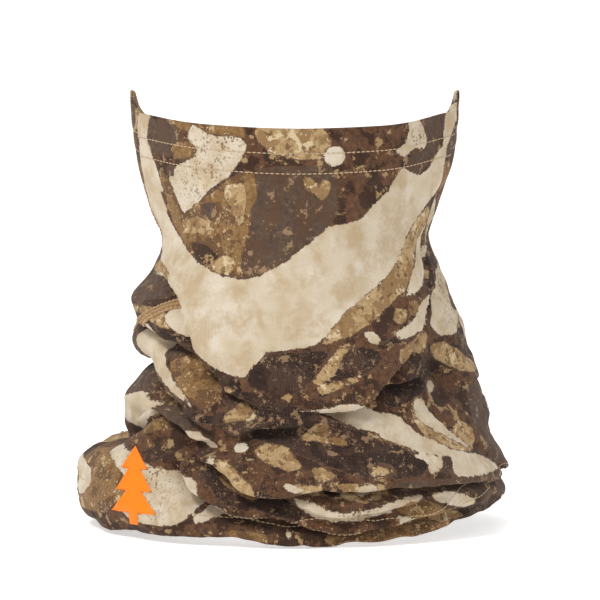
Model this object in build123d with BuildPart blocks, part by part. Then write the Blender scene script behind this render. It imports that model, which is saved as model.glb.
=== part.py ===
from build123d import *

import os

# Neck gaiter: a sewn tube of printed knit cloth, standing as it is worn, pulled up over the nose.
# Millimetres, +Z up, -Y is the front, +X is on the right of someone who faces the front.
# The origin is the centre of the neck passage, at the narrow waist under the jaw.

os.makedirs("parts", exist_ok=True)

# ---- Driving dimensions ------------------------------------------------------------------------

cloth_thickness = 1.0
thread_thickness = 0.4
film_thickness = 0.3

# The worn form. Widths run from side to side, depths from front to back.
face_width = 165.0
face_depth = 170.0
cheek_width = 159.0
cheek_depth = 174.0
jaw_width = 144.0
jaw_depth = 174.0
waist_width = 134.0
waist_depth = 172.0
neck_roll_width = 160.0
neck_roll_depth = 178.0
fold_width = 161.0
fold_depth = 170.0
collar_roll_width = 184.0
collar_roll_depth = 190.0
collar_fold_width = 186.0
collar_fold_depth = 194.0
shoulder_width = 219.0
shoulder_depth = 221.0
hem_width = 188.0
hem_depth = 200.0

# Heights above and below the waist.
face_height = 78.0
cheek_height = 42.0
jaw_height = 18.0
neck_roll_drop = 30.0
fold_drop = 56.0
collar_roll_drop = 77.0
collar_fold_drop = 92.0
shoulder_drop = 117.0
hem_drop = 150.0

# The face and the shoulders sit a little behind the neck, and the lower rolls sit to one side.
face_setback = 5.0
shoulder_setback = 6.0
roll_shift = 6.0

# The rims. Each one is an arc that dips across the front, and the back lies lower or higher.
ear_rise = 2.0
top_rim_dip = 22.0
top_rim_back_drop = 10.0
bottom_rim_gap = 3.0
bottom_rim_dip = 13.0
bottom_rim_back_rise = 14.0

# The hems, measured from each rim.
hem_turn = 22.0
edge_to_row = 12.0
row_spacing = 9.4
looper_margin = 0.8

# The seam down the left side, its distance behind the origin, and its gap from the hems.
seam_width = 6.0
seam_setback = 20.0
seam_hem_gap = 2.0

# The mark on the left front of the shoulder, a plain fir tree: three tiers over a short trunk.
mark_height = 36.0
mark_width = 32.0
mark_bearing = 42.0
mark_rise = 21.0
mark_clearance = 1.5
tier_count = 3
tier_taper = 0.2
tier_reach = 1.5
trunk_width = 6.0
trunk_height = 6.0

# The label inside the back, just above the lower hem.
label_width = 24.0
label_height = 16.0
label_thickness = 0.6

# ---- Shared geometry ---------------------------------------------------------------------------

overrun = 12.0
steps_between_sections = 3
front_plane = shoulder_depth / 2 + shoulder_setback + overrun
half_reach = shoulder_width / 2 + overrun
row_places = {"outer": edge_to_row, "inner": edge_to_row + row_spacing}

# The upper rim goes with the height of the face, and the lower rim and the mark with the hem.
top_rim_ears = face_height + ear_rise
top_rim_middle = top_rim_ears - top_rim_dip
bottom_rim_middle = bottom_rim_gap - hem_drop
bottom_rim_sides = bottom_rim_middle + bottom_rim_dip
mark_level = bottom_rim_sides + mark_rise

# Height, width and depth of each section, and its centre's place across and front to back.
sections = [
    (face_height + overrun, face_width, face_depth, 0.0, face_setback),
    (cheek_height, cheek_width, cheek_depth, 0.0, face_setback),
    (jaw_height, jaw_width, jaw_depth, 0.0, 0.0),
    (0.0, waist_width, waist_depth, 0.0, 0.0),
    (-neck_roll_drop, neck_roll_width, neck_roll_depth, 0.0, 0.0),
    (-fold_drop, fold_width, fold_depth, roll_shift, 0.0),
    (-collar_roll_drop, collar_roll_width, collar_roll_depth, roll_shift, shoulder_setback),
    (-collar_fold_drop, collar_fold_width, collar_fold_depth, roll_shift, shoulder_setback),
    (-shoulder_drop, shoulder_width, shoulder_depth, 0.0, shoulder_setback),
    (-hem_drop - overrun, hem_width, hem_depth, 0.0, shoulder_setback),
]


def slope(before, after):
    """How fast each value of a section changes with height, judged from its neighbours."""
    rise = after[0] - before[0]
    return [(a - b) / rise for a, b in zip(after, before)]


def smooth_sections():
    """The named sections, with more between them along a smooth curve through them all."""
    smoothed = []
    for index in range(len(sections) - 1):
        start, end = sections[index], sections[index + 1]
        start_slope = slope(sections[max(index - 1, 0)], end)
        end_slope = slope(start, sections[min(index + 2, len(sections) - 1)])
        rise = end[0] - start[0]
        for step in range(steps_between_sections):
            t = step / steps_between_sections
            leave = (2 * t**3 - 3 * t**2 + 1, (t**3 - 2 * t**2 + t) * rise)
            arrive = (3 * t**2 - 2 * t**3, (t**3 - t**2) * rise)
            values = zip(start, start_slope, end, end_slope)
            smoothed.append([leave[0] * a + leave[1] * m + arrive[0] * b + arrive[1] * n
                             for a, m, b, n in values])
    return smoothed + [sections[-1]]


def form(grow):
    """The worn form as one solid, grown all round by this much."""
    with BuildPart() as solid:
        for height, width, depth, across, along in smooth_sections():
            with BuildSketch(Plane((across, along, height))):
                Ellipse(width / 2 + grow, depth / 2 + grow)
        loft(ruled=True)
    return solid.part


def beyond_rim(width, middle, sides, back_change, far):
    """The space between a rim's surface and the level far, as one prism from front to back."""
    with BuildPart() as space:
        with BuildSketch(Plane.XZ.offset(front_plane)):
            with BuildLine():
                rim = ThreePointArc((-width / 2, sides), (0, middle), (width / 2, sides))
                Polyline(
                    rim @ 1,
                    (half_reach, sides),
                    (half_reach, far),
                    (-half_reach, far),
                    (-half_reach, sides),
                    rim @ 0,
                )
            make_face()
        extrude(amount=2 * front_plane, dir=(0, 2 * front_plane, back_change))
    return space.part


def above_top_rim(drop):
    """Everything above the top rim, once the rim has moved down by this much."""
    middle = top_rim_middle - drop
    ears = top_rim_ears - drop
    return beyond_rim(face_width, middle, ears, -top_rim_back_drop, face_height + 4 * overrun)


def below_bottom_rim(rise):
    """Everything below the bottom rim, once the rim has moved up by this much."""
    middle = bottom_rim_middle + rise
    sides = bottom_rim_sides + rise
    return beyond_rim(shoulder_width, middle, sides, bottom_rim_back_rise, -hem_drop - 4 * overrun)


def finish(piece, name):
    """Label a finished piece and write it out."""
    piece.part.label = name
    export_step(piece.part, f"parts/{name}.step")


def cut_row(from_rim, distance):
    """Keep a strip one thread wide, at this distance from a rim, of the layer being built."""
    add(from_rim(distance - thread_thickness / 2), mode=Mode.SUBTRACT)
    add(from_rim(distance + thread_thickness / 2), mode=Mode.INTERSECT)


def cut_between_rows(from_rim):
    """Keep the strip that covers both stitch rows, of the layer being built."""
    add(from_rim(row_places["outer"] - looper_margin), mode=Mode.SUBTRACT)
    add(from_rim(row_places["inner"] + looper_margin), mode=Mode.INTERSECT)


def cut_seam_strip():
    """Keep the strip down the left side between the hems, of the layer being built."""
    with Locations((-half_reach, seam_setback, -hem_drop)):
        Box(
            half_reach,
            seam_width,
            face_height + hem_drop,
            align=(Align.MIN, Align.CENTER, Align.MIN),
            mode=Mode.INTERSECT,
        )
    add(above_top_rim(hem_turn + seam_hem_gap), mode=Mode.SUBTRACT)
    add(below_bottom_rim(hem_turn + seam_hem_gap), mode=Mode.SUBTRACT)


# The surfaces that the layers share, from the thread outside to the looper thread inside.
face_side = form(0)
wrong_side = form(-cloth_thickness)
hem_side = form(-2 * cloth_thickness)
thread_side = form(thread_thickness)
looper_side = form(-2 * cloth_thickness - thread_thickness)
seam_looper_side = form(-cloth_thickness - thread_thickness)
film_side = form(film_thickness)
label_side = form(-cloth_thickness - label_thickness)

# The mark's plane stands upright outside the cloth and faces out at the mark's bearing.
mark_facing = Vector(0, -1, 0).rotate(Axis.Z, -mark_bearing)
mark_plane = Plane(
    origin=Vector(0, 0, mark_level) + mark_facing * half_reach,
    x_dir=mark_facing.cross(Vector(0, 0, -1)),
    z_dir=mark_facing,
)

with BuildPart() as mark_window:
    with BuildSketch(mark_plane):
        Rectangle(mark_width + 2 * mark_clearance, mark_height + 2 * mark_clearance)
    extrude(amount=-half_reach)

# ---- The cloth ---------------------------------------------------------------------------------

with BuildPart() as tube_panel:
    add(face_side)
    add(wrong_side, mode=Mode.SUBTRACT)
    add(above_top_rim(0), mode=Mode.SUBTRACT)
    add(below_bottom_rim(0), mode=Mode.SUBTRACT)
finish(tube_panel, "tube_panel")

with BuildPart() as top_hem_turnback:
    add(wrong_side)
    add(hem_side, mode=Mode.SUBTRACT)
    add(above_top_rim(0), mode=Mode.SUBTRACT)
    add(above_top_rim(hem_turn), mode=Mode.INTERSECT)
finish(top_hem_turnback, "top_hem_turnback")

with BuildPart() as bottom_hem_turnback:
    add(wrong_side)
    add(hem_side, mode=Mode.SUBTRACT)
    add(below_bottom_rim(0), mode=Mode.SUBTRACT)
    add(below_bottom_rim(hem_turn), mode=Mode.INTERSECT)
finish(bottom_hem_turnback, "bottom_hem_turnback")

# ---- The hem stitching -------------------------------------------------------------------------

for row_name, distance in row_places.items():
    with BuildPart() as top_row:
        add(thread_side)
        add(face_side, mode=Mode.SUBTRACT)
        cut_row(above_top_rim, distance)
    finish(top_row, f"top_hem_needle_thread_{row_name}")

    # The lower rows run on under the turned flap that carries the mark.
    with BuildPart() as bottom_row:
        add(thread_side)
        add(face_side, mode=Mode.SUBTRACT)
        cut_row(below_bottom_rim, distance)
        add(mark_window.part, mode=Mode.SUBTRACT)
    finish(bottom_row, f"bottom_hem_needle_thread_{row_name}")

with BuildPart() as top_hem_looper_thread:
    add(hem_side)
    add(looper_side, mode=Mode.SUBTRACT)
    cut_between_rows(above_top_rim)
finish(top_hem_looper_thread, "top_hem_looper_thread")

with BuildPart() as bottom_hem_looper_thread:
    add(hem_side)
    add(looper_side, mode=Mode.SUBTRACT)
    cut_between_rows(below_bottom_rim)
finish(bottom_hem_looper_thread, "bottom_hem_looper_thread")

# ---- The side seam -----------------------------------------------------------------------------

with BuildPart() as side_seam_cover_thread:
    add(thread_side)
    add(face_side, mode=Mode.SUBTRACT)
    cut_seam_strip()
finish(side_seam_cover_thread, "side_seam_cover_thread")

with BuildPart() as side_seam_looper_thread:
    add(wrong_side)
    add(seam_looper_side, mode=Mode.SUBTRACT)
    cut_seam_strip()
finish(side_seam_looper_thread, "side_seam_looper_thread")

# ---- The mark and the label --------------------------------------------------------------------

with BuildPart() as tree_prism:
    with BuildSketch(mark_plane):
        tier_rise = (mark_height - trunk_height) / tier_count
        for tier in range(tier_count):
            half_width = mark_width / 2 * (1 - tier_taper * tier)
            foot = trunk_height - mark_height / 2 + tier_rise * tier
            peak = min(foot + tier_reach * tier_rise, mark_height / 2)
            Polygon((-half_width, foot), (half_width, foot), (0, peak), align=None)
        with Locations((0, (trunk_height - mark_height) / 2)):
            Rectangle(trunk_width, trunk_height)
    extrude(amount=-half_reach)

with BuildPart() as transfer_mark:
    add(film_side)
    add(face_side, mode=Mode.SUBTRACT)
    add(tree_prism.part, mode=Mode.INTERSECT)
finish(transfer_mark, "transfer_mark")

with BuildPart() as care_label:
    add(wrong_side)
    add(label_side, mode=Mode.SUBTRACT)
    with Locations((0, 0, -hem_drop)):
        Box(
            label_width,
            front_plane,
            face_height + hem_drop,
            align=(Align.CENTER, Align.MIN, Align.MIN),
            mode=Mode.INTERSECT,
        )
    add(below_bottom_rim(hem_turn), mode=Mode.SUBTRACT)
    add(below_bottom_rim(hem_turn + label_height), mode=Mode.INTERSECT)
finish(care_label, "care_label")
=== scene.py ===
import math

import bpy
import numpy as np
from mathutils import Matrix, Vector


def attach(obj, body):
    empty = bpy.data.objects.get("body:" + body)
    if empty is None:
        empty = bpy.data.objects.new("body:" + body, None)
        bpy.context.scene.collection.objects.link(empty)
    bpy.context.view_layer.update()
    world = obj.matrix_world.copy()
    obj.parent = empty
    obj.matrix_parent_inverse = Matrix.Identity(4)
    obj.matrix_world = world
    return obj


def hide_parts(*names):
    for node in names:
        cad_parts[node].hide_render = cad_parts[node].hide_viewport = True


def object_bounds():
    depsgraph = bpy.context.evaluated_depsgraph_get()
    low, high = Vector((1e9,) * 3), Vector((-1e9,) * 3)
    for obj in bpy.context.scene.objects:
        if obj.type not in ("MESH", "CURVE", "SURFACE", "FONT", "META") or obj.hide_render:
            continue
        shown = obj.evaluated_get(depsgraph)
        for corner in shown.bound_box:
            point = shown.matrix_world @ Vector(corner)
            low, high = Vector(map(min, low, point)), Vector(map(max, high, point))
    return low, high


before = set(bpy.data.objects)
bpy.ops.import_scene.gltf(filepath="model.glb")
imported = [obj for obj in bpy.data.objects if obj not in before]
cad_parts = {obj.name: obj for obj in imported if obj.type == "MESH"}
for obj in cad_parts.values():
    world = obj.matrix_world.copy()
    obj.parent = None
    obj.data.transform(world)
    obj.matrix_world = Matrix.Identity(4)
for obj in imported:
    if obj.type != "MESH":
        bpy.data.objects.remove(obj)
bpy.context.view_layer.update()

# Lengths are millimetres of the frame, until MM turns them into metres for Blender.
MM = 0.001
ROWS = 104
COLUMNS = 184
# How much cloth there is to one degree round the tube.
ARC_PER_DEGREE = 1.5

# ---- The cloth's shape -------------------------------------------------------------------------
# The tube is a grid. A column is a bearing in degrees: 0 is the front (-Y), 90 is +X, 180 is the
# back and -90 is -X. A row is a height in millimetres before folding, from the top rim down.
# Every list below gives chosen points, top to bottom or by bearing, in the model's frame.


def curve(x, points):
    """A smooth curve through chosen points, without overshoot, held level past its ends."""
    xs, ys = np.array(sorted(points), float).T
    steps = np.diff(xs)
    rises = np.diff(ys) / steps
    slopes = np.zeros(len(xs))
    for i in range(1, len(xs) - 1):
        if rises[i - 1] * rises[i] > 0:
            before, after = 2 * steps[i] + steps[i - 1], steps[i] + 2 * steps[i - 1]
            slopes[i] = (before + after) / (before / rises[i - 1] + after / rises[i])
    x = np.clip(np.asarray(x, float), xs[0], xs[-1])
    k = np.clip(np.searchsorted(xs, x, side="right") - 1, 0, len(xs) - 2)
    h = steps[k]
    t = (x - xs[k]) / h
    start = (1 + 2 * t) * (1 - t) ** 2 * ys[k] + t * (1 - t) ** 2 * h * slopes[k]
    return start + t * t * (3 - 2 * t) * ys[k + 1] + t * t * (t - 1) * h * slopes[k + 1]


def smooth(low, high, x):
    """A soft step from 0 at low to 1 at high."""
    t = np.clip((np.asarray(x, float) - low) / (high - low), 0, 1)
    return t * t * (3 - 2 * t)


LEFT = [(80, 83), (42, 79.5), (20, 73), (4, 66), (-10, 71), (-30, 79), (-42, 79), (-56, 73),
        (-66, 80), (-77, 86), (-86, 86), (-92, 86), (-100, 98), (-110, 108), (-120, 110),
        (-129, 108), (-140, 100)]
RIGHT = [(80, 81), (47, 78.5), (18, 69.5), (5, 65.5), (-10, 71), (-37, 81), (-62, 89), (-77, 94),
         (-102, 99), (-110, 103), (-118, 105), (-126, 102), (-140, 96)]
FRONT = [(80, 78), (40, 80), (0, 83), (-40, 84), (-70, 82), (-100, 92), (-125, 97), (-140, 94),
         (-152, 90)]
BACK = [(80, 86), (40, 88), (10, 84), (-20, 82), (-60, 88), (-90, 98), (-115, 106), (-135, 100)]
TOP = [(-180, 53), (-130, 58), (-102, 69), (-92, 78), (-85, 71), (-60, 64.5), (-30, 59.5),
       (0, 57.5), (30, 59), (60, 65), (85, 73), (92, 78), (102, 69), (130, 58), (180, 53)]
BOTTOM = [(-180, -118), (-120, -124), (-90, -132), (-60, -136), (-20, -135), (0, -138),
          (25, -137), (50, -132), (75, -126), (90, -124), (130, -120), (180, -118)]


def base_point(bearing, height):
    """Where the tube lies in plan before it is folded."""
    a = np.radians(bearing)
    side = np.where(np.sin(a) < 0, curve(height, LEFT), curve(height, RIGHT))
    depth = np.where(np.cos(a) > 0, curve(height, FRONT), curve(height, BACK))
    return side * np.sin(a), -depth * np.cos(a)


# A fold is a line on the cloth, as (bearing, height, strength). The cloth on the line's left hand,
# for someone who walks along it, hangs over the cloth on its right. Then come, in millimetres, how
# far it hangs over, how far it bulges, how deep the valley under it is, and how wide the bulge is.
FOLDS = {
    "cowl": ([(-73, 74, 0.2), (-72, 40, 0.3), (-75, 12, 0.5), (-62, -3, 0.9), (-49, -11, 1),
        (-39, -23, 1), (-36, -34, 1), (-34, -46, 0.9), (-27, -56, 0.9), (-16, -63, 0.9), (-2, -71, 1),
        (7, -69, 1), (15, -65, 1), (23, -57, 1), (32, -47, 1), (40, -36, 1), (47, -22, 1),
        (54, -10, 0.9), (62, 8, 0.6), (68, 30, 0.4), (72, 50, 0.3), (76, 74, 0.2)], 8, 4, 7, 24),
    "left_cheek": ([(-120, -38, 0), (-95, -27, 0.8), (-80, -28, 1), (-57, -36, 1), (-42, -46, 0.6),
        (-36, -50, 0)], 5, 4, 6, 13),
    "left_strip": ([(-130, -56, 0), (-105, -50, 0.8), (-85, -50, 1), (-70, -50, 1), (-62, -55, 1),
        (-50, -62, 1), (-38, -70, 1), (-32, -76, 1), (-23, -80, 0.4), (-16, -81, 0)], 5, 4, 6, 12),
    "left_roll": ([(-70, -66, 0), (-56, -75, 0.8), (-43, -79, 1), (-30, -83, 1), (-20, -84, 1),
        (-11, -81, 1), (9, -81, 0.7), (18, -84, 0)], 3.5, 3, 4, 10),
    "left_pleat": ([(-44, -80, 0), (-40, -81, 0.5), (-30, -85, 1), (-20, -89, 1), (-12, -92, 0.6),
        (3, -95, 0)], 2.5, 1.5, 2.5, 7),
    "lobe_pleat": ([(-58, -60, 0), (-58, -66, 0.8), (-55, -73, 1), (-60, -80, 1), (-70, -87, 0.8),
        (-82, -92, 0)], 3, 2, 4, 8),
    "right_roll": ([(8, -68, 0), (16, -66, 0.5), (28, -61, 0.8), (37, -58, 1), (44, -53, 1),
        (49, -44, 1), (51, -30, 1), (54, -12, 0)], 5, 3, 8, 11),
    "white_swag": ([(24, -88, 0), (17, -84, 0.6), (10, -79, 1), (2, -76, 1), (-5, -73, 0.7),
        (-14, -67, 0)], 3, 2, 3, 9),
    "flap_top": ([(-44, -78, 0), (-50, -81, 0.6), (-58, -89, 1), (-66, -94, 1), (-78, -97, 1),
        (-92, -101, 1), (-108, -99, 0.6), (-125, -95, 0)], 3, 3, 7, 12),
    "long_swag": ([(-40, -84, 0), (-33, -91, 0.9), (-20, -99, 1), (-10, -107, 1), (1, -109, 1),
        (19, -108, 1), (37, -107, 1), (60, -109, 0.9), (78, -111, 0.6), (95, -110, 0.5),
        (135, -104, 0)], 5, 4.5, 6, 15),
    "low_swag": ([(-20, -102, 0), (-12, -107, 0.7), (-2, -113, 1), (4, -118, 1), (11, -121, 1),
        (19, -120, 1), (28, -117, 1), (40, -114, 0.8), (56, -116, 0)], 3.5, 3, 5, 9),
    "hem_swag": ([(-38, -92, 0), (-33, -101, 0.9), (-28, -108, 1), (-20, -117, 1), (-12, -120, 1),
        (-2, -123, 1), (6, -128, 1), (14, -129, 1), (28, -126, 1), (45, -122, 0.8),
        (62, -121, 0)], 4, 3, 6, 9),
    "right_shoulder": ([(58, -92, 0), (72, -100, 0.5), (88, -108, 0.6), (105, -112, 0.5),
        (130, -116, 0)], 2, 2, 4, 10),
    "nape": ([(105, 6, 0), (130, -6, 1), (165, -16, 1), (200, -14, 1), (235, -4, 0.9),
        (262, 4, 0)], 6, 4, 6, 20),
    "nape_low": ([(95, -34, 0), (120, -34, 1), (150, -44, 1), (185, -50, 1), (222, -44, 0.9),
        (250, -34, 0)], 6, 4, 7, 18),
    "back_swag": ([(88, -66, 0), (112, -64, 1), (150, -74, 1), (190, -82, 1), (225, -76, 0.8),
        (255, -70, 0)], 6, 4, 7, 16),
    "back_low": ([(120, -84, 0), (145, -92, 1), (180, -102, 1), (215, -102, 1), (245, -94, 0.7),
        (258, -90, 0)], 4, 3, 6, 12),
}

# A hollow is pressed into the cloth: bearing, height, half-width, half-height and depth.
HOLLOWS = [(56, -57, 13, 17, 11), (-80, -29, 7, 5, 5), (58, -14, 7, 18, 4), (-36, -108, 9, 8, 4),
           (180, 22, 50, 16, 5)]

FOLD_LINE_POINTS = 120
HANG_SHARE = 1.3
BULGE_SHARE = 1.25
VALLEY_SHARE = 1.75
# Across a fold's line, with the hanging cloth above 0: where the hang sets in and is full, where the
# bulge sets in, and where the valley starts to end and has ended. The valley fades out over its reach.
HANG_STARTS, HANG_FULL = -3, 1.5
BULGE_STARTS = -6
VALLEY_FADES, VALLEY_ENDS, VALLEY_REACH = -2, 1, 6
# The middle and the spread of a bulge, as shares of its width.
BULGE_MIDDLE, BULGE_SPREAD = 0.4, 0.45


def fold_line(points):
    """A fold's line as many close points: place along the arc, height, and strength."""
    knots = np.array(points, float)
    lengths = np.hypot(np.diff(knots[:, 0]) * ARC_PER_DEGREE, np.diff(knots[:, 1]))
    along = np.concatenate([[0], np.cumsum(lengths)])
    t = np.linspace(0, along[-1], FOLD_LINE_POINTS)
    line = [curve(t, list(zip(along, knots[:, axis]))) for axis in range(3)]
    return line[0] * ARC_PER_DEGREE, line[1], line[2]


def fold_shift(bearing, height, points, hang, bulge, valley, width):
    """How one fold moves the cloth: along the arc, up, and outward."""
    s_line, h_line, strength = fold_line(points)
    middle = s_line.mean()
    s = bearing * ARC_PER_DEGREE
    turn = 360 * ARC_PER_DEGREE
    s = s - turn * np.round((s - middle) / turn)
    ds = s[..., None] - s_line
    dh = height[..., None] - h_line
    nearest = np.argmin(ds * ds + dh * dh, axis=-1)
    pick = np.take_along_axis
    ds = pick(ds, nearest[..., None], -1)[..., 0]
    dh = pick(dh, nearest[..., None], -1)[..., 0]
    way_s = np.gradient(s_line)
    way_h = np.gradient(h_line)
    size = np.hypot(way_s, way_h)
    left_s = (-way_h / size)[nearest]
    left_h = (way_s / size)[nearest]
    d = ds * left_s + dh * left_h
    reach = np.hypot(ds, dh)
    d = np.where(d < 0, -reach, reach)
    power = strength[nearest]
    over = smooth(HANG_STARTS, HANG_FULL, d) * (1 - smooth(0, width, d)) * HANG_SHARE * hang * power
    swell = np.exp(-((d - BULGE_MIDDLE * width) / (BULGE_SPREAD * width)) ** 2)
    under = np.exp(-(np.minimum(d, 0) / VALLEY_REACH) ** 2) * (1 - smooth(VALLEY_FADES, VALLEY_ENDS, d))
    out = BULGE_SHARE * bulge * swell * smooth(BULGE_STARTS, 0, d) - VALLEY_SHARE * valley * under
    return -over * left_s, -over * left_h, out * power


def folded(bearing, height):
    """The cloth after folding, in millimetres."""
    along, up, out = 0 * bearing, 0 * bearing, 0 * bearing
    for line, hang, bulge, valley, width in FOLDS.values():
        a, u, o = fold_shift(bearing, height, line, hang, bulge, valley, width)
        along, up, out = along + a, up + u, out + o
    for place, level, half_width, half_height, depth in HOLLOWS:
        gap = (bearing - place + 180) % 360 - 180
        out = out - depth * np.exp(-((gap / half_width) ** 2 + ((height - level) / half_height) ** 2))
    b = bearing + along / ARC_PER_DEGREE
    h = height + up
    x, y = base_point(b, h)
    a = np.radians(b)
    return np.stack([x + out * np.sin(a), y - out * np.cos(a), h], axis=-1)


def grid_faces(rows, columns, closed=True):
    """The quads of a grid, row by row, facing outward when the rows run down and the columns right."""
    across = columns if closed else columns - 1
    r, c = np.meshgrid(np.arange(rows - 1), np.arange(across), indexing="ij")
    n = (c + 1) % columns
    quads = [r * columns + c, (r + 1) * columns + c, (r + 1) * columns + n, r * columns + n]
    return np.stack(quads, axis=-1).reshape(-1, 4)


def mesh_object(name, points, faces):
    """A smooth-shaded object, from points in millimetres."""
    mesh = bpy.data.meshes.new(name)
    places = (np.asarray(points).reshape(-1, 3) * MM).tolist()
    mesh.from_pydata(places, [], [list(map(int, face)) for face in faces])
    mesh.polygons.foreach_set("use_smooth", [True] * len(mesh.polygons))
    obj = bpy.data.objects.new(name, mesh)
    bpy.context.scene.collection.objects.link(obj)
    return obj


# The smooth cowl ends at a height that rises from the chin to the ears, and fades over a short way.
COWL_FOOT = -74
COWL_SPREAD = 0.0225
COWL_EAR = 16
COWL_FADE = (-4, 14)


def cowl_share(bearing, height):
    """1 where the cloth lies smooth over the face and chin, 0 where it bunches below."""
    edge = np.minimum(COWL_FOOT + COWL_SPREAD * bearing**2, COWL_EAR)
    return smooth(*COWL_FADE, height - edge)


SIM_FRAMES = 18
SIM_BENDING = 0.8
SIM_SPARE = 0.07


def crumple(points, hold):
    """Let the cloth settle into small folds of its own, held softly to the shape that it has."""
    rows, columns = points.shape[:2]
    obj = mesh_object("settling_cloth", points, grid_faces(rows, columns))
    group = obj.vertex_groups.new(name="hold")
    for index, weight in enumerate(hold.ravel()):
        group.add([index], float(weight), "REPLACE")
    cloth = obj.modifiers.new("cloth", "CLOTH")
    s = cloth.settings
    s.quality = 6
    s.mass = 0.2
    s.tension_stiffness = s.compression_stiffness = 10
    s.shear_stiffness = 4
    s.bending_stiffness = SIM_BENDING
    s.tension_damping = s.compression_damping = 8
    s.vertex_group_mass = "hold"
    s.pin_stiffness = 1.0
    s.shrink_min = s.shrink_max = -SIM_SPARE
    c = cloth.collision_settings
    c.use_collision = False
    c.use_self_collision = True
    c.self_distance_min = 0.0012
    c.collision_quality = 2
    cloth.point_cache.frame_start = 1
    cloth.point_cache.frame_end = SIM_FRAMES + 1
    scene = bpy.context.scene
    scene.frame_start, scene.frame_end = 1, SIM_FRAMES + 1
    for frame_number in range(1, SIM_FRAMES + 1):
        scene.frame_set(frame_number)
    settled = obj.evaluated_get(bpy.context.evaluated_depsgraph_get()).to_mesh()
    places = np.empty(rows * columns * 3, np.float32)
    settled.vertices.foreach_get("co", places)
    scene.frame_set(1)
    bpy.data.objects.remove(obj)
    return places.reshape(rows, columns, 3).astype(float) / MM


def soften(field, times):
    """Even a grid out with its neighbours this many times."""
    for _ in range(times):
        sides = (np.roll(field, 1, 1) + np.roll(field, -1, 1)) / 2
        padded = np.concatenate([field[:1], field, field[-1:]])
        field = 0.5 * field + 0.25 * sides + 0.125 * (padded[:-2] + padded[2:])
    return field


CRINKLE_SEED = 11
CRINKLE_LENGTH, CRINKLE_WIDTH = 36, 6
FACE_CRINKLE, SLACK_CRINKLE = 0.08, 0.5
SLACK_BELOW, FACE_ABOVE = -55, 5


def crinkles(points):
    """Small seeded wrinkles in millimetres, longer round the tube than down it, least on the face."""
    field = np.random.default_rng(CRINKLE_SEED).normal(size=points.shape[:2])
    for _ in range(CRINKLE_LENGTH):
        field = 0.5 * field + 0.25 * (np.roll(field, 1, 1) + np.roll(field, -1, 1))
    for _ in range(CRINKLE_WIDTH):
        padded = np.concatenate([field[:1], field, field[-1:]])
        field = 0.5 * field + 0.25 * (padded[:-2] + padded[2:])
    slack = 1 - smooth(SLACK_BELOW, FACE_ABOVE, points[..., 2])
    return field / field.std() * (FACE_CRINKLE + (SLACK_CRINKLE - FACE_CRINKLE) * slack)


def spline_weights(places, count, closed):
    """Which grid lines, and how much of each, make a smooth surface at these places."""
    base = np.floor(places).astype(int)
    f = places - base
    second, third = 3 * f**3 - 6 * f**2 + 4, -3 * f**3 + 3 * f**2 + 3 * f + 1
    weights = np.stack([(1 - f) ** 3, second, third, f**3]) / 6
    lines = base[None] + np.arange(-1, 3)[:, None]
    lines = lines % count if closed else np.clip(lines, 0, count - 1)
    return lines, weights


def surface(points, row_places, column_places):
    """A smooth surface that follows a closed grid, at fractional rows and columns."""
    lines, weights = spline_weights(row_places, points.shape[0], False)
    down = sum(w[:, None, None] * points[line] for line, w in zip(lines, weights))
    lines, weights = spline_weights(column_places, points.shape[1], True)
    return sum(w[None, :, None] * down[:, line] for line, w in zip(lines, weights))


def outward(points):
    """The outward direction at each point of a closed grid."""
    along = np.roll(points, -1, 1) - np.roll(points, 1, 1)
    down = np.gradient(points, axis=0)
    normal = np.cross(down, along)
    return normal / np.linalg.norm(normal, axis=-1, keepdims=True)


def at(grid, rows, columns):
    """The value of a closed grid at fractional rows and columns."""
    r0 = np.clip(np.floor(rows).astype(int), 0, grid.shape[0] - 2)
    c0 = np.floor(columns).astype(int)
    fr = (rows - r0)[..., None]
    fc = (columns - c0)[..., None]
    a, b = c0 % grid.shape[1], (c0 + 1) % grid.shape[1]
    top = grid[r0, a] * (1 - fc) + grid[r0, b] * fc
    low = grid[r0 + 1, a] * (1 - fc) + grid[r0 + 1, b] * fc
    return top * (1 - fr) + low * fr


# ---- The settled cloth -------------------------------------------------------------------------

# How strongly the cloth is held to its shape while it settles: the face, the rest, and the top rim.
FACE_HOLD, LOOSE_HOLD = 0.75, 0.42
KEPT_RIM_ROWS = 3
# How often the settling is evened out: all of it, and then again over the smooth face.
SOFT_TIMES, FACE_SOFT_TIMES = 1, 10
FINE_ROWS, FINE_COLUMNS = 150, 320

t = np.linspace(0, 1, ROWS)[:, None]
bearing = (np.arange(COLUMNS) / COLUMNS * 360 - 180)[None, :] + 0 * t
height = curve(bearing, TOP) * (1 - t) + curve(bearing, BOTTOM) * t
shaped = folded(bearing, height)

calm = cowl_share(bearing, height)
hold = LOOSE_HOLD + (FACE_HOLD - LOOSE_HOLD) * calm
hold[:KEPT_RIM_ROWS] = 1
change = crumple(shaped, hold) - shaped
change = soften(change, SOFT_TIMES)
broad = soften(change, FACE_SOFT_TIMES)
shaped = shaped + change * (1 - calm)[..., None] + broad * calm[..., None]

fine_rows = np.linspace(0, ROWS - 1, FINE_ROWS)
fine_columns = np.arange(FINE_COLUMNS) * COLUMNS / FINE_COLUMNS
cloth_points = surface(shaped, fine_rows, fine_columns)
cloth_points = cloth_points + outward(cloth_points) * crinkles(cloth_points)[..., None]
cloth_out = outward(cloth_points)
cloth_height = surface(height[..., None], fine_rows, fine_columns)[..., 0]


def column_of(bearing):
    """The fine column at a bearing."""
    return (np.asarray(bearing, float) + 180) / 360 * FINE_COLUMNS


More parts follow.
